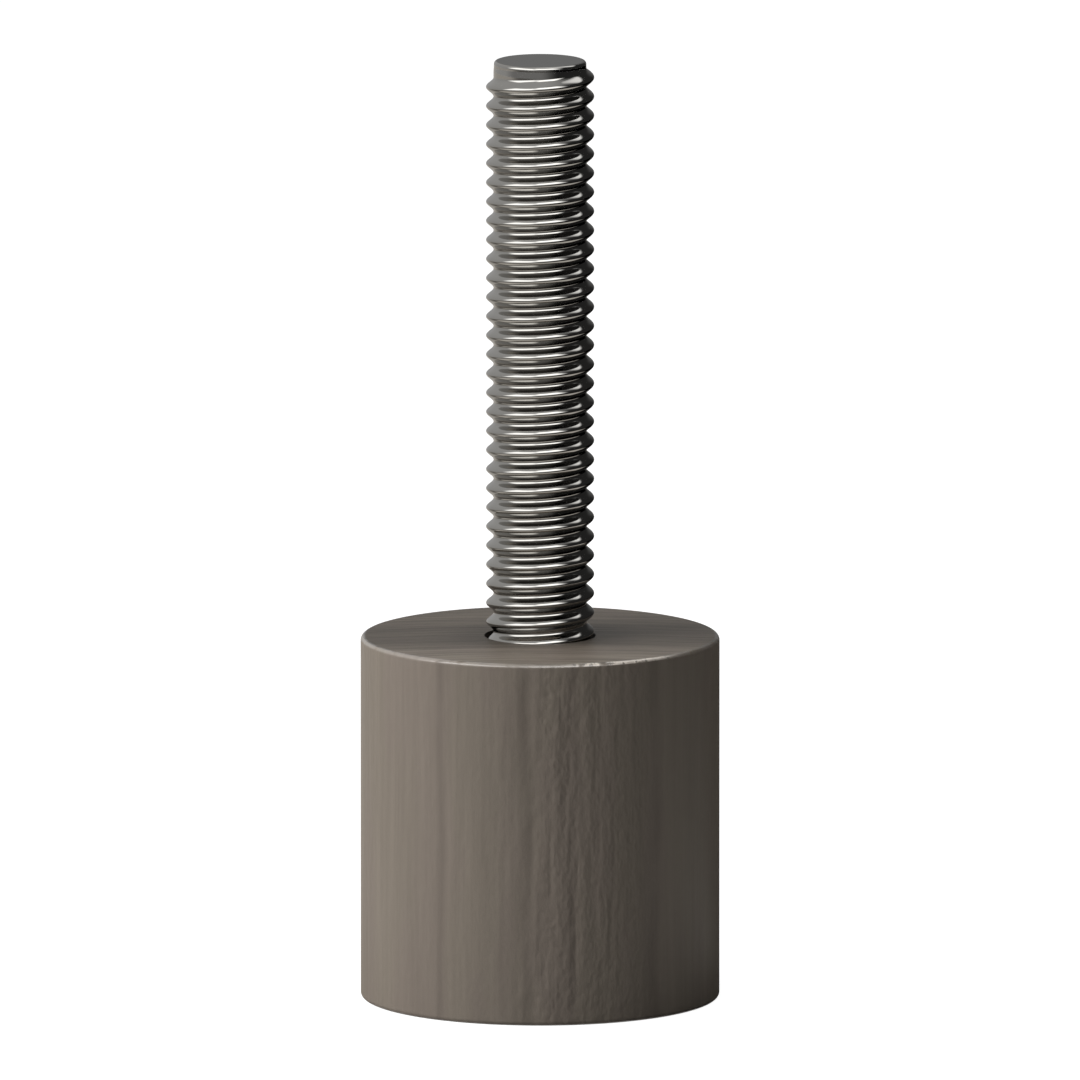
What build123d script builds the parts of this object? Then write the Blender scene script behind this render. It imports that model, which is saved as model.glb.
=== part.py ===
from build123d import *
from build123d.topology import SkipClean
import math
import os

# Threaded furniture foot: a turned wooden block that carries a threaded steel stud.
# Millimetres, +Z up. The origin is the centre of the block's bottom face, on the floor.

# Wooden block
BLOCK_DIAMETER = 26.2
BLOCK_HEIGHT = 26.7
EDGE_ROUND = 0.40

# Stud with a 5/16-18 unified thread, right-hand, single start
STUD_LENGTH = 63.5
STUD_EXPOSED = 42.44
THREAD_MAJOR = 7.90
THREAD_PITCH = 25.4 / 18
THREAD_DEPTH = 0.575
CREST_FLAT = 0.28
ROOT_FLAT = 0.34

# The crest is at full height at +X, this far below the tip, and fades out in the next part of a turn
PLAIN_TIP = 1.22
FADE_TURNS = 0.3
TIP_ROUND = 0.24

# Hidden shank, bonded in the block's blind bore
SHANK_DIAMETER = 7.0
SHANK_CHAMFER = 0.5
BOND_CLEARANCE = 0.05

# Wider mouth of the bore, round the last of the thread
MOUTH_CLEARANCE = 0.09
MOUTH_DEPTH = 2.5

# The ridge is built in like pieces, so that its crest is a row of short cylinder faces
PIECES_PER_TURN = 4

crest_radius = THREAD_MAJOR / 2
core_radius = crest_radius - THREAD_DEPTH
shank_radius = SHANK_DIAMETER / 2
tip_z = BLOCK_HEIGHT + STUD_EXPOSED
shank_end_z = tip_z - STUD_LENGTH
mouth_floor_z = BLOCK_HEIGHT - MOUTH_DEPTH
crest_top_z = tip_z - PLAIN_TIP


def upright(radius, z_from, z_to):
    """Cylinder on the foot's axis between two heights."""
    stands = (Align.CENTER, Align.CENTER, Align.MIN)
    return Pos(0, 0, z_from) * Cylinder(radius, z_to - z_from, align=stands)


def ridge_piece(turns, trim):
    """Length of the thread's ridge that starts at +X, at height zero, and climbs to the left.

    Its section runs from just inside the core to just past the crest, and trim cuts it to height.
    """
    flank_run = (THREAD_PITCH - CREST_FLAT - ROOT_FLAT) / 2 / THREAD_DEPTH
    sink = ROOT_FLAT / 4 / flank_run
    proud = CREST_FLAT / 4 / flank_run
    half_base = (THREAD_PITCH - ROOT_FLAT) / 2 + ROOT_FLAT / 4
    half_crest = CREST_FLAT / 4
    section = Polygon(
        (core_radius - sink, -half_base),
        (core_radius - sink, half_base),
        (crest_radius + proud, half_crest),
        (crest_radius + proud, -half_crest),
        align=None,
    )
    path = Helix(THREAD_PITCH, turns * THREAD_PITCH, core_radius)
    return sweep(Plane.XZ * section, path=path, is_frenet=True) & trim


def make_ridge():
    """Pieces of the ridge, from its fade at the tip down to its fade in the bore's mouth."""
    tall = 2 * (1 + FADE_TURNS) * THREAD_PITCH
    whole = ridge_piece(1 / PIECES_PER_TURN, Cylinder(crest_radius, tall))

    # The fade keeps inside an eccentric cylinder, which touches the crest at +X and dips under the core at its end
    end_radius = core_radius - ROOT_FLAT / 8
    end_x = end_radius * math.cos(2 * math.pi * FADE_TURNS)
    offset = (crest_radius**2 - end_radius**2) / 2 / (crest_radius - end_x)
    cam = Pos(offset, 0, 0) * Cylinder(crest_radius - offset, tall)
    fade = ridge_piece(FADE_TURNS, cam)

    # Whole pieces go down to the block's top face, which the full-height crest clears
    turns_down = (crest_top_z - CREST_FLAT / 2 - BLOCK_HEIGHT) / THREAD_PITCH
    count = math.floor(turns_down * PIECES_PER_TURN)
    placed = [(whole, -i / PIECES_PER_TURN) for i in range(1, count + 1)]
    placed.append((fade, 0))
    placed.append((Rot(180, 0, 0) * fade, -count / PIECES_PER_TURN))
    return [
        Pos(0, 0, crest_top_z + turns * THREAD_PITCH) * Rot(0, 0, 360 * turns) * piece
        for piece, turns in placed
    ]


def make_stud():
    """Steel stud: plain shank, core with a rounded tip, and the thread's ridge."""
    shank = upright(shank_radius, shank_end_z, mouth_floor_z)
    shank = chamfer(shank.edges().sort_by(Axis.Z)[0], SHANK_CHAMFER)
    core = upright(core_radius, mouth_floor_z, tip_z)
    core = fillet(core.edges().sort_by(Axis.Z)[-1], TIP_ROUND)
    blank = shank + core
    with SkipClean():
        return blank.fuse(*make_ridge())


def make_block():
    """Wooden block with its blind bore and the bore's wider mouth."""
    block = upright(BLOCK_DIAMETER / 2, 0, BLOCK_HEIGHT)
    block = fillet(block.edges().filter_by(GeomType.CIRCLE), EDGE_ROUND)
    bore = upright(shank_radius + BOND_CLEARANCE, shank_end_z, BLOCK_HEIGHT)
    mouth = upright(crest_radius + MOUTH_CLEARANCE, mouth_floor_z, BLOCK_HEIGHT)
    return block - bore - mouth


os.makedirs("parts", exist_ok=True)
export_step(make_block(), "parts/wood_block.step")
export_step(make_stud(), "parts/threaded_stud.step")
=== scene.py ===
"""Threaded furniture foot: a stained wooden block that carries a dark polished steel stud.

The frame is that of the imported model, in metres with +Z up: the foot stands on the floor, and its
axis is the Z axis. Sizes of the foot and its finishes are in millimetres and are turned into metres
where a mesh is made. Sizes of the studio are in metres.
"""

import logging
import math
from dataclasses import dataclass
from enum import Enum
from typing import Any, Sequence

import bmesh
import bpy
from mathutils import Euler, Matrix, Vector

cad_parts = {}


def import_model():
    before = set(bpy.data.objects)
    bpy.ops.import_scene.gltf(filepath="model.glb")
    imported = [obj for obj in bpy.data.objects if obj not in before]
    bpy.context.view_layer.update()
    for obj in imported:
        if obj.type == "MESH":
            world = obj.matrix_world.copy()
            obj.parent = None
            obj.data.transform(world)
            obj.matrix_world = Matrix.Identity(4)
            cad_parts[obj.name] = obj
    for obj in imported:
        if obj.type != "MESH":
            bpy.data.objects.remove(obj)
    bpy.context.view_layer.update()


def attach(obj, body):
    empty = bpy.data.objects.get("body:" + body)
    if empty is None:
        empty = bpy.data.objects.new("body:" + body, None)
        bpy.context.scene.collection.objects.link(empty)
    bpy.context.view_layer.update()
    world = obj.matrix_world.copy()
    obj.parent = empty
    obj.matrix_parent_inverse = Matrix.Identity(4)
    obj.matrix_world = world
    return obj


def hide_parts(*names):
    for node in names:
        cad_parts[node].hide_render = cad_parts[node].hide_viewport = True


log = logging.getLogger("foot")

MM = 0.001
TURN = 2 * math.pi
DEGREES = math.degrees(1)
HALF_TURN = 180.0

Colour = tuple[float, float, float]
Span = tuple[float, float]
Profile = list[tuple[float, float]]

WHITE: Colour = (1.0, 1.0, 1.0)

# Middle value of a noise
MEAN = 0.5

# Colour sockets of the Mix node, whose names its other sockets have too
MIX_FIRST, MIX_SECOND, MIX_RESULT = 6, 7, 2


class Seen(Enum):
    """The only rays that a lamp or a card of the studio shows itself to."""

    SHINE = "glossy"
    LIGHT = "diffuse"

    def limit(self, thing: bpy.types.Object) -> None:
        """Leaves a lamp or a card to these rays.

        Args:
            thing: The lamp's or the card's object.
        """
        thing.visible_camera = thing.visible_transmission = False
        thing.visible_volume_scatter = False
        thing.visible_glossy = self is Seen.SHINE
        thing.visible_diffuse = self is Seen.LIGHT


class Signal:
    """An output socket of a node tree that takes part in Python expressions."""

    def __init__(self, tree: "Tree", socket: bpy.types.NodeSocket) -> None:
        """Wraps one socket of the given tree."""
        self.tree = tree
        self.socket = socket

    def maths(self, operation: str, *values: Any) -> "Signal":
        """Adds one Math node.

        Args:
            operation: The Math node's operation.
            values: The node's inputs, as signals or numbers.

        Returns:
            The node's result.
        """
        return self.tree.add("ShaderNodeMath", {"operation": operation}, dict(enumerate(values)))

    def __add__(self, other: Any) -> "Signal":
        """Self plus other."""
        return self.maths("ADD", self, other)

    __radd__ = __add__

    def __sub__(self, other: Any) -> "Signal":
        """Self minus other."""
        return self.maths("SUBTRACT", self, other)

    def __rsub__(self, other: Any) -> "Signal":
        """Other minus self."""
        return self.maths("SUBTRACT", other, self)

    def __mul__(self, other: Any) -> "Signal":
        """Self times other."""
        return self.maths("MULTIPLY", self, other)

    __rmul__ = __mul__

    def __truediv__(self, other: Any) -> "Signal":
        """Self divided by other."""
        return self.maths("DIVIDE", self, other)

    def __neg__(self) -> "Signal":
        """Self with its sign turned."""
        return self.maths("MULTIPLY", self, -1.0)

    def cosine(self) -> "Signal":
        """Cosine of self, in radians."""
        return self.maths("COSINE", self)

    def sine(self) -> "Signal":
        """Sine of self, in radians."""
        return self.maths("SINE", self)

    def magnitude(self) -> "Signal":
        """Self without its sign."""
        return self.maths("ABSOLUTE", self)

    def turned_from(self, other: Any) -> "Signal":
        """Angle in radians whose tangent is self over other."""
        return self.maths("ARCTAN2", self, other)

    def away_from(self, middle: float) -> "Signal":
        """Angle between self and a middle direction, either way round, in degrees."""
        return self.maths("PINGPONG", self - middle, HALF_TURN)

    def nearest(self) -> "Signal":
        """Nearest whole number."""
        return self.maths("ROUND", self)

    def at_least(self, other: Any) -> "Signal":
        """The larger of self and other."""
        return self.maths("MAXIMUM", self, other)

    def at_most(self, other: Any) -> "Signal":
        """The smaller of self and other."""
        return self.maths("MINIMUM", self, other)

    def power(self, exponent: float) -> "Signal":
        """Self raised to a power."""
        return self.maths("POWER", self, exponent)

    def rise(self, start: Any, end: Any) -> "Signal":
        """Smooth step: 0 before start and 1 after end."""
        settings = {"interpolation_type": "SMOOTHSTEP"}
        return self.tree.add("ShaderNodeMapRange", settings, {0: self, 1: start, 2: end})

    def fall(self, start: Any, end: Any) -> "Signal":
        """Smooth step: 1 before start and 0 after end."""
        return 1 - self.rise(start, end)

    def swing(self, low: float, high: float) -> "Signal":
        """Straight map of 0..1 to low..high."""
        return self * (high - low) + low


class Tree:
    """A node tree, with one method that adds any node."""

    def __init__(self, nodes: bpy.types.NodeTree) -> None:
        """Empties the given node tree and wraps it."""
        self.nodes = nodes
        self.nodes.nodes.clear()

    def place(
        self,
        kind: str,
        settings: dict[str, Any] | None = None,
        values: dict[Any, Any] | None = None,
    ) -> bpy.types.Node:
        """Adds one node.

        Args:
            kind: The node's type.
            settings: Its properties, which are set first.
            values: Numbers or signals for its inputs, by name or place.

        Returns:
            The node.
        """
        node = self.nodes.nodes.new(kind)
        for name, value in (settings or {}).items():
            setattr(node, name, value)
        for key, value in (values or {}).items():
            if isinstance(value, Signal):
                self.nodes.links.new(value.socket, node.inputs[key])
            else:
                node.inputs[key].default_value = value
        return node

    def add(
        self,
        kind: str,
        settings: dict[str, Any] | None = None,
        values: dict[Any, Any] | None = None,
        output: int | str = 0,
    ) -> Signal:
        """Adds one node and gives one of its outputs."""
        return Signal(self, self.place(kind, settings, values).outputs[output])

    def vector(self, x: Any, y: Any, z: Any) -> Signal:
        """Vector of three values."""
        return self.add("ShaderNodeCombineXYZ", None, {0: x, 1: y, 2: z})

    def parts(self, vector: Signal) -> tuple[Signal, Signal, Signal]:
        """The three values of a vector."""
        node = self.place("ShaderNodeSeparateXYZ", None, {0: vector})
        return tuple(Signal(self, socket) for socket in node.outputs)

    def millimetres(self) -> tuple[Signal, Signal, Signal]:
        """Object coordinates in millimetres."""
        values = {0: self.add("ShaderNodeTexCoord", output="Object"), "Scale": 1 / MM}
        return self.parts(self.add("ShaderNodeVectorMath", {"operation": "SCALE"}, values))

    def blend(self, factor: Any, first: Any, second: Any, kind: str = "MIX") -> Signal:
        """Mix of two colours.

        Args:
            factor: How far the result is towards the second colour.
            first: First colour, as a signal or as numbers.
            second: Second colour.
            kind: The Mix node's blend type.

        Returns:
            The mixed colour.
        """
        settings = {"data_type": "RGBA", "blend_type": kind}
        values = {0: factor, MIX_FIRST: self.colour(first), MIX_SECOND: self.colour(second)}
        return self.add("ShaderNodeMix", settings, values, MIX_RESULT)

    def tinted(self, colour: Signal, tint: Colour, where: Any = 1.0) -> Signal:
        """Colour multiplied by a tint, where a mask is 1."""
        return self.blend(1.0, colour, self.blend(where, WHITE, tint), "MULTIPLY")

    @staticmethod
    def colour(value: Any) -> Any:
        """A colour with its fourth number, or a signal as it is."""
        return value if isinstance(value, Signal) else (*value, 1.0)


def reach_of(x: Signal, y: Signal) -> Signal:
    """Distance from the axis."""
    return (x * x + y * y).power(0.5)


def azimuth_of(x: Signal, y: Signal) -> Signal:
    """Angle round the axis in radians: 0 towards the camera, and positive to its right."""
    return x.turned_from(-y)


def moved(span: Span, by: float) -> Span:
    """A span with both ends moved."""
    return by + span[0], by + span[1]


@dataclass(frozen=True)
class Noise:
    """Noise that is stretched along the axes, about 0.5 in its middle.

    Fineness is per millimetre along X, Y and Z. Between the two values of its edge, where it has
    one, the noise is turned into a smooth mask from 0 to 1.
    """

    fineness: tuple[float, float, float]
    detail: float = 2.0
    rough: float = 0.5
    shift: float = 0.0
    edge: Span | None = None

    def at(self, x: Signal, y: Signal, z: Signal) -> Signal:
        """Noise at a place.

        Args:
            x: Place along X in millimetres.
            y: Place along Y.
            z: Place along Z.

        Returns:
            The noise, or its mask.
        """
        across, deep, up = self.fineness
        place = x.tree.vector(x * across + self.shift, y * deep, z * up)
        values = {"Vector": place, "Scale": 1.0, "Detail": self.detail, "Roughness": self.rough}
        noise = x.tree.add("ShaderNodeTexNoise", {"noise_dimensions": "3D"}, values)
        return noise.rise(*self.edge) if self.edge else noise


def new_material(name: str) -> tuple[bpy.types.Material, Tree]:
    """Makes an empty material with nodes.

    Args:
        name: The material's name.

    Returns:
        The material and its node tree.
    """
    material = bpy.data.materials.new(name)
    material.use_nodes = True
    return material, Tree(material.node_tree)


def finish_surface(tree: Tree, shader: Signal) -> None:
    """Links a shader to the material's output."""
    tree.place("ShaderNodeOutputMaterial", None, {"Surface": shader})


@dataclass(frozen=True)
class Vein:
    """Darker line that runs up the block's side.

    The azimuth is in degrees from the front. Half the width is in millimetres, and so is the reach,
    which is how far a vein of sway 1 wanders sideways for a noise of 1.
    """

    azimuth: float
    half_width: float
    depth: float
    sway: float
    reach: float = 4.0

    def shade(self, arc: Signal, wander: Signal, radius: float) -> Signal:
        """Darkening by the vein.

        Args:
            arc: Way round the block from its front in millimetres.
            wander: Noise along the height, about 0.
            radius: The block's radius.

        Returns:
            The vein's depth in its middle, and 0 outside.
        """
        middle = math.radians(self.azimuth) * radius
        aside = (arc - middle + wander * self.sway * self.reach).magnitude()
        return aside.fall(0.0, self.half_width) * self.depth


@dataclass(frozen=True)
class StainedWood:
    """Grey-brown stain on turned wood: fine grain along Z, growth lines along X on the end grain.

    A "dark" share is how much a layer darkens the stain, a "lift" is its height in the relief, and
    a span is where a mask starts to rise or fall and where it ends.
    """

    # The stain's two tones, and the tints that change it in places
    light: Colour = (0.260, 0.223, 0.183)
    dark: Colour = (0.149, 0.126, 0.104)
    rose: Colour = (0.995, 0.980, 1.000)
    # Lighter top rim: wear, and a painted highlight
    wear_and_highlight: Colour = (1.42, 1.46, 1.50)
    # Lighter chips on the rim's front right: chipped wood, and a painted highlight
    bare_and_highlight: Colour = (3.0, 3.05, 3.1)
    end_grain: Colour = (0.93, 0.93, 0.92)
    # Painted shade of the stud round it on the top face, together with darker heart wood
    heart_wood_and_shade_tint: Colour = (0.35, 0.35, 0.345)
    # Painted shade inside the mouth of the bore
    painted_mouth_shade: Colour = (0.10, 0.09, 0.08)

    # Growth lines in sheets that face the camera, a little curved and wandering
    sheet_curve: float = 0.010
    sheet_sway: float = 1.5
    sway: Noise = Noise((0.09, 0.09, 0.04), 1.0)
    lines: Noise = Noise((0.08, 2.2, 0.035), 3.0, 0.65)
    rings: Noise = Noise((0.05, 0.75, 0.03), 1.0, shift=7.3, edge=(0.50, 0.66))
    bands: Noise = Noise((0.10, 0.32, 0.02), 1.0)

    # Fibres and veins up the block
    fibres: Noise = Noise((2.2, 2.2, 0.09), 3.0, 0.6)
    drift: Noise = Noise((0.35, 0.35, 0.05), 1.0)
    wander: Noise = Noise((0.08, 0.08, 0.09), 1.0)
    patches: Noise = Noise((0.3, 0.3, 0.16), 1.0, edge=(0.30, 0.60))
    patch_range: Span = (0.35, 1.0)
    veins: tuple[Vein, ...] = (
        Vein(-62.0, 0.60, 0.16, 0.3),
        Vein(-33.5, 0.60, 0.28, 0.3),
        Vein(-4.5, 0.75, 0.46, 0.45),
        Vein(10.6, 0.40, 0.30, 0.3),
        Vein(40.0, 0.90, 0.34, 0.5),
    )

    # Shares of the dark tone
    base_dark: float = 0.28
    lines_dark: float = 0.50
    fibres_dark: float = 0.30
    bands_dark: float = 0.5
    drift_dark: float = 0.3
    top_lines_dark: float = 3.6
    top_rings_dark: float = 0.35
    top_fibres_dark: float = 0.4
    top_dark: float = 0.14

    # Relief: long ridges with short wrinkles, strongest in a strip beside the front
    ridges: Noise = Noise((1.05, 1.05, 0.13), 1.5)
    wrinkles: Noise = Noise((1.7, 1.7, 1.0), 1.5)
    strip_start: Span = (-1.6, 1.2)
    strip_end: Span = (7.2, 9.6)
    strip_range: Span = (0.28, 1.0)
    ridge_lift: float = 1.9
    wrinkle_lift: float = 1.1
    fibre_lift: float = 0.10
    vein_lift: float = 0.2
    line_lift: float = 0.8
    relief_depth: float = 0.10

    # Faintly rosy patches, and the darker top round the stud: heart wood with painted shade of the
    # stud
    rosy: Noise = Noise((0.3, 0.3, 0.06), 2.0, edge=(0.42, 0.6))
    heart_shade_front: Span = (-8.5, -2.5)
    heart_shade_reach: Span = (4.5, 8.5)
    heart_shade_range: Span = (0.83, 1.0)
    heart_shade_back: Span = (2.0, 8.0)
    heart_shade_back_loss: float = 0.32

    # Edges of the top face, the bore's mouth and the rim, which is worn and painted with a
    # highlight, from the block's own
    top_edge: Span = (-0.06, -0.02)
    mouth_edge: Span = (0.01, 0.05)
    rim_across: Span = (-0.02, 0.10)
    rim_up: Span = (0.08, 0.17)
    rim_patches: Noise = Noise((0.9, 0.9, 1.0), 2.0, edge=(0.30, 0.50))
    chips_and_highlight: Noise = Noise((2.4, 2.4, 1.0), 2.0, edge=(0.36, 0.46))
    chip_highlight_start: Span = (1.2, 4.0)
    chip_highlight_end: Span = (7.5, 10.5)

    # Gloss
    roughness: float = 0.46
    rim_polish: float = 0.18
    specular: float = 0.35
    coat_roughness: float = 0.15
    coat_ior: float = 1.9

    def figure(
        self, x: Signal, y: Signal, z: Signal, top: Signal, radius: float
    ) -> tuple[Signal, Signal]:
        """Grain of the wood.

        Args:
            x: Place along X in millimetres.
            y: Place along Y.
            z: Place along Z.
            top: 1 on the end grain.
            radius: The block's radius.

        Returns:
            How far the stain is towards its dark tone, and the height of the surface's relief.
        """
        sway = self.sway.at(x, y, z) - MEAN
        depth = y + x * x * self.sheet_curve + sway * self.sheet_sway
        lines = self.lines.at(x, depth, z)
        rings = self.rings.at(x, depth, z)
        bands = self.bands.at(x, depth, z)
        fibres = self.fibres.at(x, y, z)
        drift = self.drift.at(x, y, z)

        arc = azimuth_of(x, y) * radius
        wander = self.wander.at(x, y, z) - MEAN
        patchy = self.patches.at(x, y, z).swing(*self.patch_range)
        vein = sum((vein.shade(arc, wander, radius) for vein in self.veins), 0) * patchy

        side_dark = (MEAN - lines) * self.lines_dark + (MEAN - fibres) * self.fibres_dark
        side_dark = side_dark + (MEAN - bands) * self.bands_dark
        side_dark = side_dark + (MEAN - drift) * self.drift_dark + vein
        top_dark = (MEAN - lines) * self.top_lines_dark + rings * self.top_rings_dark
        top_dark = top_dark + (MEAN - fibres) * self.top_fibres_dark + self.top_dark
        amount = side_dark + top * (top_dark - side_dark) + self.base_dark
        amount = amount.at_least(0.0).at_most(1.0)

        strip = arc.rise(*self.strip_start) * arc.fall(*self.strip_end)
        ridges = self.ridges.at(x, y, z) * self.ridge_lift
        wrinkles = self.wrinkles.at(x, y, z) * self.wrinkle_lift
        relief = (ridges + wrinkles) * strip.swing(*self.strip_range)
        relief = relief + fibres * self.fibre_lift - vein * self.vein_lift
        relief = relief * (1 - top) + lines * top * self.line_lift
        return amount, relief

    def heart_and_shade(self, y: Signal, reach: Signal) -> Signal:
        """Darker heart wood of the top face with painted shade round the stud, which gives way in
        front, outwards and at the back.

        Args:
            y: Place along Y in millimetres.
            reach: Distance from the axis.

        Returns:
            1 where the heart wood and the painted shade round the stud are darkest.
        """
        outwards = reach.fall(*self.heart_shade_reach).swing(*self.heart_shade_range)
        backwards = 1 - y.rise(*self.heart_shade_back) * self.heart_shade_back_loss
        return y.rise(*self.heart_shade_front) * outwards * backwards

    def make(self, block: "WoodBlock") -> bpy.types.Material:
        """Builds the finish.

        Args:
            block: The block that it is for.

        Returns:
            The material.
        """
        material, tree = new_material("grey_stained_wood")
        radius = block.diameter / 2
        x, y, z = tree.millimetres()
        reach = reach_of(x, y)
        top = z.rise(*moved(self.top_edge, block.height))
        amount, relief = self.figure(x, y, z, top, radius)
        colour = tree.blend(amount, self.light, self.dark)
        colour = tree.tinted(colour, self.rose, self.rosy.at(x, y, z))
        # Darker heart wood and painted shade round the stud on the top face
        colour = tree.tinted(colour, self.heart_wood_and_shade_tint, top * self.heart_and_shade(y, reach))
        colour = tree.tinted(colour, self.end_grain, top)

        # Painted shade darkens the mouth of the bore
        mouth = reach.fall(*moved(self.mouth_edge, block.mouth_diameter / 2))
        colour = tree.tinted(colour, self.painted_mouth_shade, mouth)

        # The top rim is lightened, partly as wear and partly as a painted highlight, and more on
        # the right of its front, where chips also paint a highlight
        rim = reach.rise(*moved(self.rim_across, radius - block.rim_round))
        rim = rim * z.rise(*moved(self.rim_up, block.height - block.rim_round))
        rim = rim * self.rim_patches.at(x, y, z)
        colour = tree.tinted(colour, self.wear_and_highlight, rim)
        # Chips on the right of the rim's front, partly chipped wood and partly a painted highlight
        chips_and_highlight = rim * rim * x.rise(*self.chip_highlight_start) * x.fall(*self.chip_highlight_end)
        colour = tree.tinted(colour, self.bare_and_highlight, chips_and_highlight * self.chips_and_highlight.at(x, y, z))

        values = {"Strength": 1.0, "Distance": self.relief_depth * MM, "Height": relief}
        bump = tree.add("ShaderNodeBump", None, values)
        values = {
            "Base Color": colour,
            "Roughness": self.roughness - rim * self.rim_polish,
            "Normal": bump,
            "Specular IOR Level": self.specular,
            "Coat Weight": rim,
            "Coat Roughness": self.coat_roughness,
            "Coat IOR": self.coat_ior,
        }
        finish_surface(tree, tree.add("ShaderNodeBsdfPrincipled", None, values))
        return material


@dataclass(frozen=True)
class DarkSteel:
    """Dark polished steel with faint rolling marks, and painted shade that darkens its cut end."""

    tone: Colour = (0.46, 0.449, 0.426)
    tone_spread: float = 0.05
    roughness: float = 0.072
    roughness_spread: float = 0.04
    # Painted shade on the cut end
    end_shade_tone: Colour = (0.32, 0.32, 0.305)
    end_shade_edge: Span = (-0.03, -0.005)
    cloud: Noise = Noise((0.9, 0.9, 0.9), 2.0)
    marks: Noise = Noise((0.6, 0.6, 9.0), 2.0)
    marks_strength: float = 0.08
    marks_depth: float = 0.01

    def make(self, end_height: float) -> bpy.types.Material:
        """Builds the finish.

        Args:
            end_height: Height of the cut end.

        Returns:
            The material.
        """
        material, tree = new_material("dark_polished_steel")
        x, y, z = tree.millimetres()
        cloud = self.cloud.at(x, y, z)
        darker = tuple(c * (1 - self.tone_spread) for c in self.tone)
        lighter = tuple(c * (1 + self.tone_spread) for c in self.tone)
        # Painted shade darkens the cut end
        cut = z.rise(*moved(self.end_shade_edge, end_height))
        marks = {
            "Strength": self.marks_strength,
            "Distance": self.marks_depth * MM,
            "Height": self.marks.at(x, y, z),
        }
        values = {
            "Base Color": tree.tinted(tree.blend(cloud, darker, lighter), self.end_shade_tone, cut),
            "Metallic": 1.0,
            "Roughness": (cloud - MEAN) * self.roughness_spread + self.roughness,
            "Normal": tree.add("ShaderNodeBump", None, marks),
        }
        finish_surface(tree, tree.add("ShaderNodeBsdfPrincipled", None, values))
        return material


def turned_mesh(name: str, profiles: Sequence[Profile], segments: int) -> bpy.types.Mesh:
    """Turns profiles round the Z axis.

    Args:
        name: The mesh's name.
        profiles: Runs of (radius, height) in millimetres. The outside is on the right of a run
            that goes up.
        segments: Faces round the axis.

    Returns:
        The mesh, in metres, with smooth faces.
    """
    mesh = bpy.data.meshes.new(name)
    solid = bmesh.new()
    angles = [TURN * i / segments for i in range(segments)]
    for profile in profiles:
        rings = []
        for radius, height in profile:
            around = angles if radius else angles[:1]
            places = [(radius * math.cos(a), radius * math.sin(a), height) for a in around]
            rings.append([solid.verts.new([c * MM for c in place]) for place in places])
        for lower, upper in zip(rings, rings[1:]):
            for i in range(segments):
                j = (i + 1) % segments
                starts = [lower[i], lower[j]] if len(lower) > 1 else lower
                ends = [upper[j], upper[i]] if len(upper) > 1 else upper
                solid.faces.new(starts + ends)
    for face in solid.faces:
        face.smooth = True
    solid.to_mesh(mesh)
    solid.free()
    return mesh


def corner(
    centre: tuple[float, float], radius: float, start: float, end: float, steps: int
) -> Profile:
    """Arc of a profile.

    Args:
        centre: Its middle, as (radius, height).
        radius: Its own radius.
        start: First angle in degrees, from the outward direction towards the top.
        end: Last angle in degrees.
        steps: Straight pieces in the arc.

    Returns:
        The arc's points.
    """
    angles = [math.radians(start + (end - start) * i / steps) for i in range(steps + 1)]
    return [(centre[0] + radius * math.cos(a), centre[1] + radius * math.sin(a)) for a in angles]


def stand(name: str, mesh: bpy.types.Mesh) -> bpy.types.Object:
    """Puts a mesh in the scene as an object at the origin."""
    made = bpy.data.objects.new(name, mesh)
    bpy.context.scene.collection.objects.link(made)
    return made


@dataclass
class WoodBlock:
    """Turned wooden block with softly broken rims and a blind bore for the stud.

    A guard is the distance from a corner to the ring beside it, which keeps flat faces flat under
    smooth shading. The top ring is at a share of the radius.
    """

    diameter: float = 26.2
    height: float = 26.7
    rim_round: float = 0.34
    mouth_diameter: float = 8.08
    mouth_depth: float = 2.5
    mouth_edge: float = 0.04
    bore_diameter: float = 7.1
    bore_floor: float = 5.64
    rim_guard: float = 0.03
    bore_guard: float = 0.02
    top_ring: float = 0.66
    rim_steps: int = 8
    mouth_steps: int = 3
    segments: int = 256

    def outside(self) -> Profile:
        """Outline from the middle of the bottom face to the top face.

        Returns:
            Points of (radius, height).
        """
        radius, edge, guard = self.diameter / 2, self.rim_round, self.rim_guard
        flat, shoulder = radius - edge, self.height - edge
        points: Profile = [(0, 0), (radius / 2, 0), (flat - guard, 0)]
        points += corner((flat, edge), edge, -90, 0, self.rim_steps)
        points += [(radius, edge + guard), (radius, self.height / 2), (radius, shoulder - guard)]
        points += corner((flat, shoulder), edge, 0, 90, self.rim_steps)
        return points + [(flat - guard, self.height), (radius * self.top_ring, self.height)]

    def inside(self) -> Profile:
        """Outline from the top face down the mouth and the bore, to the middle of its floor.

        Returns:
            Points of (radius, height).
        """
        mouth, bore, guard = self.mouth_diameter / 2, self.bore_diameter / 2, self.bore_guard
        top, edge, low = self.height, self.mouth_edge, self.bore_floor
        ledge = top - self.mouth_depth
        points: Profile = [(mouth + edge + guard, top)]
        points += corner((mouth + edge, top - edge), edge, 90, 180, self.mouth_steps)
        points += [(mouth, ledge + guard), (mouth, ledge), (mouth - guard, ledge)]
        points += [(bore + guard, ledge), (bore, ledge), (bore, ledge - guard)]
        points += [(bore, low + guard), (bore, low), (bore - guard, low)]
        return points + [(0, low)]

    def build(self) -> bpy.types.Object:
        """Turns the block."""
        profile = self.outside() + self.inside()
        return stand("turned_block", turned_mesh("turned_block", [profile], self.segments))

    def dress(self, piece: bpy.types.Object, finish: StainedWood) -> None:
        """Gives the block its finish and its place in the frame.

        Args:
            piece: The block's object.
            finish: Its finish.
        """
        piece.data.materials.append(finish.make(self))
        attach(piece, "root")
        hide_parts("wood_block")


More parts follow.
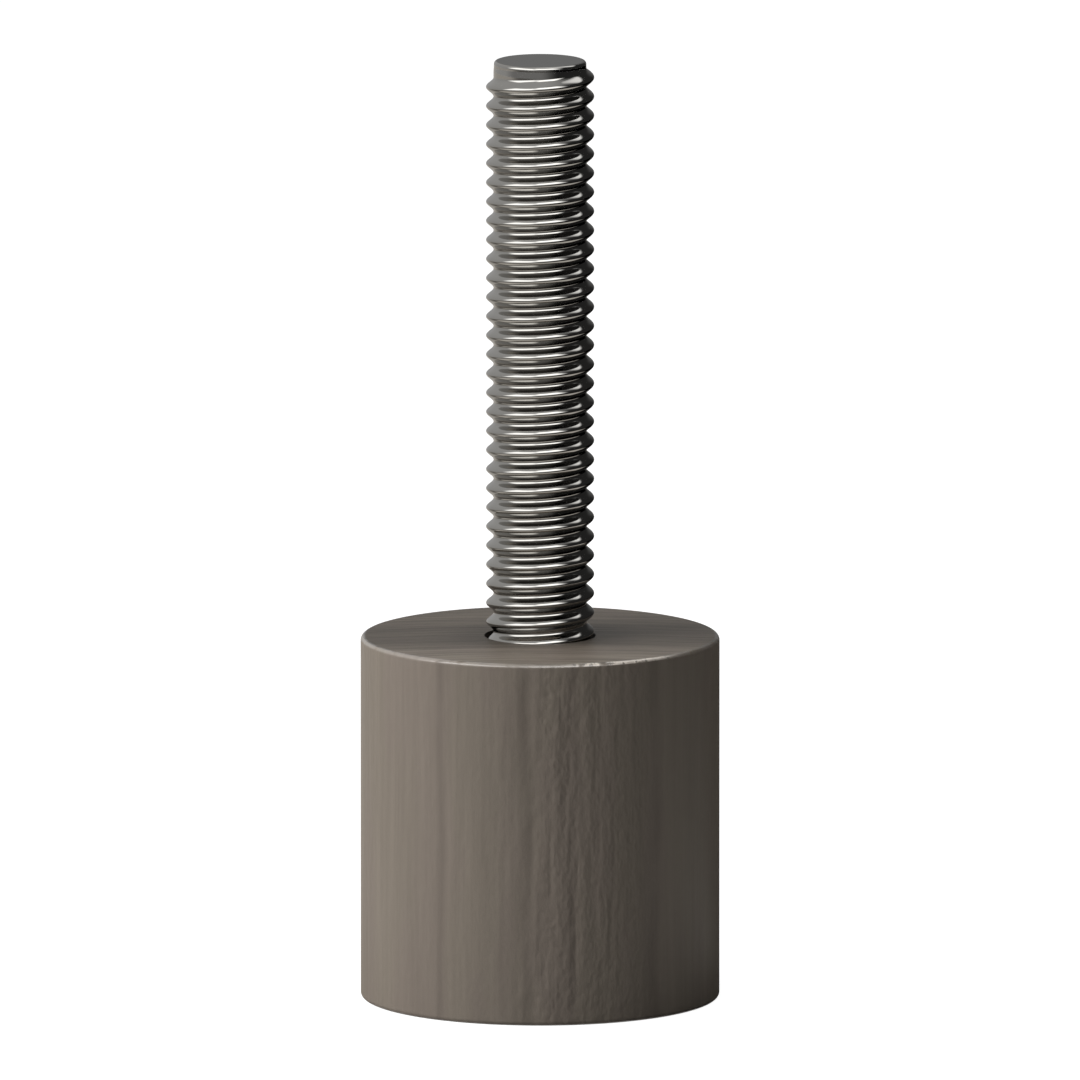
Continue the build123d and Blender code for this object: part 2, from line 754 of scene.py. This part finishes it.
@dataclass
class ThreadedStud:
    """Steel stud: one piece with a plain shank, a rounded rolled thread and a plain tip.

    The crest is at full height at +X at the crest height and fades above it. The run-outs, at which
    the ridge meets the plain parts, are in pitches. A guard is the distance from a corner to the
    ring beside it.
    """

    tip_height: float = 69.14
    length: float = 63.5
    pitch: float = 25.4 / 18
    crest_radius: float = 3.950
    root_radius: float = 3.400
    collar_radius: float = 3.372
    tip_round: float = 0.24
    tip_steps: int = 8
    tip_guard: float = 0.03
    crest_height: float = 67.917
    fade_turns: float = 0.42
    thread_bottom: float = 25.0
    plain_tip: float = 0.30
    run_start: float = 0.02
    top_run: float = 0.40
    bottom_run: float = 0.50
    shank_radius: float = 3.5
    shank_top: float = 24.2
    shank_chamfer: float = 0.5
    shank_guard: float = 0.02
    weld: float = 0.001
    columns: int = 84
    rows_per_turn: int = 34

    def plain_parts(self) -> list[Profile]:
        """Outlines of the shank below the thread and of the tip above it.

        Returns:
            Two runs of (radius, height), open where they meet the thread.
        """
        foot, top, tip = self.tip_height - self.length, self.shank_top, self.tip_height
        shank, cut, guard = self.shank_radius, self.shank_chamfer, self.shank_guard
        below: Profile = [(0, foot), (shank - cut - guard, foot), (shank - cut, foot)]
        below += [(shank, foot + cut), (shank, foot + cut + guard), (shank, top - guard)]
        below += [(shank, top), (self.root_radius, top), (self.root_radius, self.thread_bottom)]
        flat = self.collar_radius - self.tip_round
        above: Profile = [(self.collar_radius, tip - self.plain_tip)]
        above += corner((flat, tip - self.tip_round), self.tip_round, 0, 90, self.tip_steps)
        above += [(flat - self.tip_guard, tip), (flat / 2, tip), (0, tip)]
        return [below, above]

    def inputs(self) -> dict[str, float | int]:
        """Sizes that the node group takes, in metres and whole numbers.

        Returns:
            Values by input name.
        """
        top = self.tip_height - self.plain_tip
        turns = (top - self.thread_bottom) / self.pitch + 1
        return {
            "Pitch": self.pitch * MM,
            "Crest Radius": self.crest_radius * MM,
            "Root Radius": self.root_radius * MM,
            "Collar Radius": self.collar_radius * MM,
            "Crest Height": self.crest_height * MM,
            "Thread Bottom": self.thread_bottom * MM,
            "Thread Top": top * MM,
            "Fade Turns": self.fade_turns,
            "Columns": self.columns,
            "Rows Per Turn": self.rows_per_turn,
            "Rows": math.ceil(turns * self.rows_per_turn) + 1,
        }

    def group_with_inputs(self) -> bpy.types.NodeTree:
        """Empty node group with the stud's named inputs and its output.

        Returns:
            The node group.
        """
        group = bpy.data.node_groups.new("rolled_thread", "GeometryNodeTree")
        face = group.interface
        face.new_socket("Geometry", in_out="INPUT", socket_type="NodeSocketGeometry")
        for name, value in self.inputs().items():
            kind = "NodeSocketInt" if isinstance(value, int) else "NodeSocketFloat"
            face.new_socket(name, in_out="INPUT", socket_type=kind)
        face.new_socket("Finish", in_out="INPUT", socket_type="NodeSocketMaterial")
        face.new_socket("Geometry", in_out="OUTPUT", socket_type="NodeSocketGeometry")
        return group

    def thread_radius(self, given: dict[str, Signal], height: Signal, turns: Signal) -> Signal:
        """Radius of the thread at a place.

        Args:
            given: The node group's inputs.
            height: The place's height in metres.
            turns: Its turns round the axis.

        Returns:
            The radius in metres.
        """
        pitch, bottom, top = given["Pitch"], given["Thread Bottom"], given["Thread Top"]
        root = given["Root Radius"]

        # Turns since the ridge's last full height, measured along the ridge that is nearest
        phase = (height - given["Crest Height"]) / pitch - turns
        ridge = phase.nearest() + turns
        fade = ridge.fall(0.0, given["Fade Turns"])
        near_top = height.rise(top - pitch * self.top_run, top - pitch * self.run_start)
        off_bottom = height.rise(bottom + pitch * self.run_start, bottom + pitch * self.bottom_run)
        swell = (given["Crest Radius"] - root) * 0.5 * ((phase * TURN).cosine() + 1)
        core = root + (given["Collar Radius"] - root) * near_top
        return core + swell * fade * ((1 - near_top) * off_bottom)

    def thread_tree(self) -> bpy.types.NodeTree:
        """Geometry Nodes that wrap a grid round the axis, with rows that climb with the thread.

        Returns:
            The node group, which adds the thread to the plain parts.
        """
        group = self.group_with_inputs()
        tree = Tree(group)
        start = tree.place("NodeGroupInput")
        given = {socket.name: Signal(tree, socket) for socket in start.outputs if socket.name}
        rows, bottom = given["Rows"], given["Thread Bottom"]

        # The grid's two directions become the angle and the row
        sizes = {"Size X": 1.0, "Size Y": 1.0}
        sizes.update({"Vertices X": given["Columns"] + 1, "Vertices Y": rows})
        grid = tree.add("GeometryNodeMeshGrid", None, sizes)
        across, along, _ = tree.parts(tree.add("GeometryNodeInputPosition"))
        turns = across + 0.5
        row = (along + 0.5) * (rows - 1)
        climb = (row / given["Rows Per Turn"] + turns - 1) * given["Pitch"] + bottom
        height = climb.at_least(bottom).at_most(given["Thread Top"])

        radius, angle = self.thread_radius(given, height, turns), turns * TURN
        place = tree.vector(radius * angle.cosine(), radius * angle.sine(), height)
        placed = {"Geometry": grid, "Position": place}
        wrapped = tree.add("GeometryNodeSetPosition", None, placed)
        joined = tree.place("GeometryNodeJoinGeometry")
        for part in (wrapped, given["Geometry"]):
            group.links.new(part.socket, joined.inputs[0])
        seams = {"Geometry": Signal(tree, joined.outputs[0]), "Distance": self.weld * MM}
        closed = tree.add("GeometryNodeMergeByDistance", None, seams)
        smooth = tree.add("GeometryNodeSetShadeSmooth", None, {"Geometry": closed})
        real = tree.add("GeometryNodeRealizeInstances", None, {"Geometry": smooth})
        finished = {"Geometry": real, "Material": given["Finish"]}
        done = tree.add("GeometryNodeSetMaterial", None, finished)
        tree.place("NodeGroupOutput", None, {0: done})
        return group

    def build(self, finish: DarkSteel) -> bpy.types.Object:
        """Turns the plain parts and rolls the thread between them.

        Args:
            finish: The stud's finish.

        Returns:
            The stud's object.
        """
        piece = stand("rolled_stud", turned_mesh("rolled_stud", self.plain_parts(), self.columns))
        group = self.thread_tree()
        modifier = piece.modifiers.new("thread", "NODES")
        modifier.node_group = group
        sizes: dict[str, Any] = {**self.inputs(), "Finish": finish.make(self.tip_height)}
        for socket in group.interface.items_tree:
            if socket.in_out == "INPUT" and socket.name in sizes:
                modifier[socket.identifier] = sizes[socket.name]
        evaluated = piece.evaluated_get(bpy.context.evaluated_depsgraph_get())
        piece.data = bpy.data.meshes.new_from_object(evaluated)
        piece.modifiers.remove(modifier)
        return piece

    @staticmethod
    def dress(piece: bpy.types.Object) -> None:
        """Gives the stud its place in the frame.

        Args:
            piece: The stud's object.
        """
        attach(piece, "root")
        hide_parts("threaded_stud")


def direction(azimuth: float, elevation: float) -> Vector:
    """Direction from the foot.

    Args:
        azimuth: Degrees round the foot, 0 towards the camera and 90 to its right.
        elevation: Degrees above the horizon.

    Returns:
        The direction, one metre long.
    """
    a, e = math.radians(azimuth), math.radians(elevation)
    return Vector((math.sin(a) * math.cos(e), -math.cos(a) * math.cos(e), math.sin(e)))


def facing(way: Vector) -> Euler:
    """Rotation of a lamp or a camera that looks back along a direction."""
    return (-way).to_track_quat("-Z", "Y").to_euler()


@dataclass(frozen=True)
class Softbox:
    """Soft rectangular lamp that faces the foot and lights matt surfaces.

    Sizes are in metres and angles in degrees. The aim is a height on the axis.
    """

    name: str
    azimuth: float
    elevation: float
    width: float
    height: float
    radiance: float
    distance: float = 0.5
    aim: float = 0.034

    def make(self) -> None:
        """Hangs the lamp."""
        data = bpy.data.lights.new(self.name, "AREA")
        data.shape = "RECTANGLE"
        data.size, data.size_y = self.width, self.height
        data.energy = self.radiance * math.pi * self.width * self.height
        lamp = bpy.data.objects.new(self.name, data)
        way = direction(self.azimuth, self.elevation)
        lamp.location = Vector((0, 0, self.aim)) + way * self.distance
        lamp.rotation_euler = facing(way)
        Seen.LIGHT.limit(lamp)
        bpy.context.scene.collection.objects.link(lamp)
        log.info("%s hung", self.name)


@dataclass(frozen=True)
class Panel:
    """Soft-edged panel of the tent.

    Angles are in degrees, and the half width and height reach to where it has half its tone. The
    edges are the whole angles over which its sides and its ends fade.
    """

    azimuth: float
    elevation: float
    half_width: float
    half_height: float
    tone: float
    side_edge: float
    end_edge: float

    def shade(self, azimuth: Signal, elevation: Signal) -> Signal:
        """Brightness of the panel.

        Args:
            azimuth: Direction of the shaded point, in degrees.
            elevation: Its height above the horizon, in degrees.

        Returns:
            The panel's tone inside it, and 0 well outside.
        """
        side, end = self.side_edge / 2, self.end_edge / 2
        aside, above = azimuth.away_from(self.azimuth), elevation.away_from(self.elevation)
        across = aside.fall(self.half_width - side, self.half_width + side)
        upright = above.fall(self.half_height - end, self.half_height + end)
        return across * upright * self.tone


@dataclass(frozen=True)
class Surround:
    """Tone round the horizon: bright on the left, lower in front, and dark on the right.

    Angles are in degrees. The dip is how much of the tone is lost in front.
    """

    half_width: float
    dip: float
    bright_side: float = -128.0
    dark_side: float = 97.0
    front_edge: float = 17.0
    dark_edge: Span = (50.0, 100.0)

    def shade(self, azimuth: Signal) -> Signal:
        """Tone in a direction.

        Args:
            azimuth: The direction, in degrees.

        Returns:
            The tone, from 0 to 1.
        """
        aside = azimuth.away_from(self.bright_side)
        edge = self.half_width - self.front_edge, self.half_width + self.front_edge
        front = 1 - aside.rise(*edge) * self.dip
        return front * azimuth.away_from(self.dark_side).rise(*self.dark_edge)


def stage_card(name: str, mesh: bpy.types.Mesh, material: bpy.types.Material) -> None:
    """Stages a glowing card that polished surfaces alone see.

    Args:
        name: The card's name.
        mesh: Its mesh.
        material: Its glow, which isn't sampled as a lamp.
    """
    mesh.materials.append(material)
    card = stand(name, mesh)
    Seen.SHINE.limit(card)
    card.visible_shadow = False
    material.cycles.emission_sampling = "NONE"


@dataclass(frozen=True)
class Tent:
    """Tent of cloth round the foot, with soft panels in it. Sizes in metres, angles in degrees."""

    # Panels on the left, in front on the right, and behind
    panels: tuple[Panel, ...] = (
        Panel(-49, 35, 38, 22, 2.35, side_edge=30, end_edge=10),
        Panel(18, 48, 37, 20, 2.6, side_edge=28, end_edge=10),
        Panel(150, 57, 38, 14, 1.35, side_edge=34, end_edge=6),
    )

    # Cloth between them
    surround: Surround = Surround(46.0, 0.45)
    radius: float = 0.6
    aim: float = 0.034
    segments: int = 48
    bands: int = 32
    low: float = 0.42
    high: float = 0.48
    least: float = 0.028
    lift: Span = (0.0, 60.0)
    high_edge: Span = (52.0, 82.0)
    crown: Span = (41.0, 89.0)

    def glow(self, azimuth: Signal, elevation: Signal) -> Signal:
        """Brightness of the cloth and its panels.

        Args:
            azimuth: Direction of the shaded point, in degrees.
            elevation: Its height above the horizon, in degrees.

        Returns:
            The brightness.
        """
        lift = elevation.rise(*self.lift)
        away = azimuth.away_from(self.surround.dark_side).rise(*self.high_edge)
        upper = away.at_least(elevation.rise(*self.crown)) * self.high
        glow = self.surround.shade(azimuth) * (1 - lift) * self.low + upper * lift + self.least
        for panel in self.panels:
            glow = glow.at_least(panel.shade(azimuth, elevation))
        return glow

    def make(self) -> None:
        """Hangs the tent."""
        mesh = bpy.data.meshes.new("tent")
        ball = bmesh.new()
        bmesh.ops.create_uvsphere(
            ball, u_segments=self.segments, v_segments=self.bands, radius=self.radius
        )
        bmesh.ops.translate(ball, verts=ball.verts, vec=(0, 0, self.aim))
        ball.to_mesh(mesh)
        ball.free()
        material, tree = new_material("tent_cloth")
        x, y, z = tree.millimetres()
        azimuth = azimuth_of(x, y) * DEGREES
        height = z - self.aim / MM
        elevation = height.turned_from(reach_of(x, y)) * DEGREES
        glow = self.glow(azimuth, elevation)
        finish_surface(tree, tree.add("ShaderNodeEmission", None, {"Color": glow}))
        stage_card("tent", mesh, material)


@dataclass(frozen=True)
class Mat:
    """Mat on the floor round the foot, with a warm pool of light on it.

    It ends just inside the tent. Its sizes are in metres, angles are in degrees, and the spans of
    its reach and of its pool's start and end are in millimetres from the axis.
    """

    surround: Surround = Surround(62.0, 0.74)
    inner: float = 0.01303
    outer: float = 0.594
    height: float = 0.0001
    segments: int = 64
    tone: float = 0.52
    back_edge: Span = (25.0, 60.0)
    far_reach: Span = (150.0, 400.0)
    far_range: Span = (0.30, 0.95)
    pool_tone: float = 0.70
    pool_start: Span = (20.0, 36.0)
    pool_end: Span = (68.0, 130.0)
    pool_sides: Span = (110.0, 130.0)
    warmth: Colour = (1.0, 0.95, 0.88)

    def glow(self, azimuth: Signal, reach: Signal) -> Signal:
        """Brightness of the mat.

        Args:
            azimuth: Direction of the shaded point, in degrees.
            reach: Its distance from the axis in millimetres.

        Returns:
            The brightness.
        """
        behind = azimuth.away_from(-HALF_TURN).fall(*self.back_edge)
        far = reach.rise(*self.far_reach).at_least(behind).swing(*self.far_range)
        pool = reach.rise(*self.pool_start) * reach.fall(*self.pool_end) * self.pool_tone
        pool = pool * azimuth.away_from(0.0).fall(*self.pool_sides)
        return (self.surround.shade(azimuth) * far * self.tone).at_least(pool)

    def make(self) -> None:
        """Lays the mat."""
        mesh = bpy.data.meshes.new("mat")
        steps = self.segments
        angles = [TURN * i / steps for i in range(steps)]
        rings = [(radius, angle) for radius in (self.inner, self.outer) for angle in angles]
        points = [(r * math.cos(a), r * math.sin(a), self.height) for r, a in rings]
        faces = [(i, i + steps, (i + 1) % steps + steps, (i + 1) % steps) for i in range(steps)]
        mesh.from_pydata(points, [], faces)
        material, tree = new_material("grey_mat")
        x, y, _ = tree.millimetres()
        glow = self.glow(azimuth_of(x, y) * DEGREES, reach_of(x, y))
        warm = tree.tinted(tree.vector(glow, glow, glow), self.warmth)
        finish_surface(tree, tree.add("ShaderNodeEmission", None, {"Color": warm}))
        stage_card("mat", mesh, material)


@dataclass(frozen=True)
class Studio:
    """Pale floor, white surroundings, camera, tent, mat and lamps.

    The point that the camera looks at, its lens and its sensor are in millimetres, and the other
    sizes are in metres.
    """

    floor_half: float = 8.0
    floor_white: float = 0.955
    floor_tone: Colour = (0.34, 0.34, 0.34)
    ambient: float = 0.03
    camera_distance: float = 3.7
    camera_elevation: float = 9.413
    look_at: tuple[float, float, float] = (-0.008, 0.0, 33.732)
    lens: float = 1690.2
    sensor: float = 36.0
    clip: Span = (0.1, 30.0)
    tent: Tent = Tent()
    mat: Mat = Mat()
    lamps: tuple[Softbox, ...] = (
        Softbox("key", -74, 28, 0.34, 0.34, radiance=4.5),
        Softbox("wide", -60, 25, 0.95, 0.50, radiance=0.85),
        Softbox("left_fill", -120, 30, 0.40, 0.40, radiance=1.1),
        Softbox("overhead", -20, 76, 0.40, 0.40, radiance=1.0),
        Softbox("far_fill", 108, 45, 0.40, 0.40, radiance=0.51),
    )

    @staticmethod
    def shown(tree: Tree) -> Signal:
        """1 for rays from the camera, from polished surfaces and through glass."""
        path = tree.place("ShaderNodeLightPath")
        kinds = ("Camera", "Glossy", "Transmission")
        camera, glossy, through = (Signal(tree, path.outputs[f"Is {kind} Ray"]) for kind in kinds)
        return camera.at_least(glossy).at_least(through)

    def make_floor(self) -> None:
        """Lays the pale floor, which keeps the foot's shadow."""
        mesh = bpy.data.meshes.new("floor")
        half = self.floor_half
        corners = [(-half, -half, 0), (half, -half, 0), (half, half, 0), (-half, half, 0)]
        mesh.from_pydata(corners, [], [(0, 1, 2, 3)])
        material, tree = new_material("pale_floor")
        matt = tree.add("ShaderNodeBsdfDiffuse", None, {"Color": tree.colour(self.floor_tone)})
        strength = self.shown(tree) * self.floor_white
        glow = tree.add("ShaderNodeEmission", None, {"Strength": strength})
        finish_surface(tree, tree.add("ShaderNodeAddShader", None, {0: matt, 1: glow}))
        mesh.materials.append(material)
        stand("floor", mesh)

    def make_world(self) -> None:
        """Makes the surroundings: white where they are seen, dim as light."""
        world = bpy.data.worlds.new("surroundings")
        world.use_nodes = True
        bpy.context.scene.world = world
        tree = Tree(world.node_tree)
        strength = self.shown(tree).at_least(self.ambient)
        values = {"Color": tree.colour(WHITE), "Strength": strength}
        sky = tree.add("ShaderNodeBackground", None, values)
        tree.place("ShaderNodeOutputWorld", None, {"Surface": sky})

    def make_camera(self) -> None:
        """Sets the camera up at the photograph's viewing angle."""
        data = bpy.data.cameras.new("camera")
        data.lens, data.sensor_width = self.lens, self.sensor
        data.clip_start, data.clip_end = self.clip
        camera = bpy.data.objects.new("camera", data)
        way = direction(0, self.camera_elevation)
        camera.location = Vector(self.look_at) * MM + way * self.camera_distance
        camera.rotation_euler = facing(way)
        bpy.context.scene.collection.objects.link(camera)
        bpy.context.scene.camera = camera

    def build(self) -> None:
        """Sets up the whole studio."""
        bpy.context.scene.view_settings.view_transform = "Standard"
        self.make_camera()
        self.make_floor()
        self.make_world()
        self.tent.make()
        self.mat.make()
        for lamp in self.lamps:
            lamp.make()


def main() -> None:
    """Builds the foot and its studio and reports each piece."""
    logging.basicConfig(level=logging.INFO, format="%(message)s")
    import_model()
    Studio().build()

    block = WoodBlock()
    piece = block.build()
    block.dress(piece, StainedWood())
    log.info("%s: %d faces", piece.name, len(piece.data.polygons))

    stud = ThreadedStud()
    piece = stud.build(DarkSteel())
    stud.dress(piece)
    log.info("%s: %d faces", piece.name, len(piece.data.polygons))


if __name__ == "__main__":
    main()
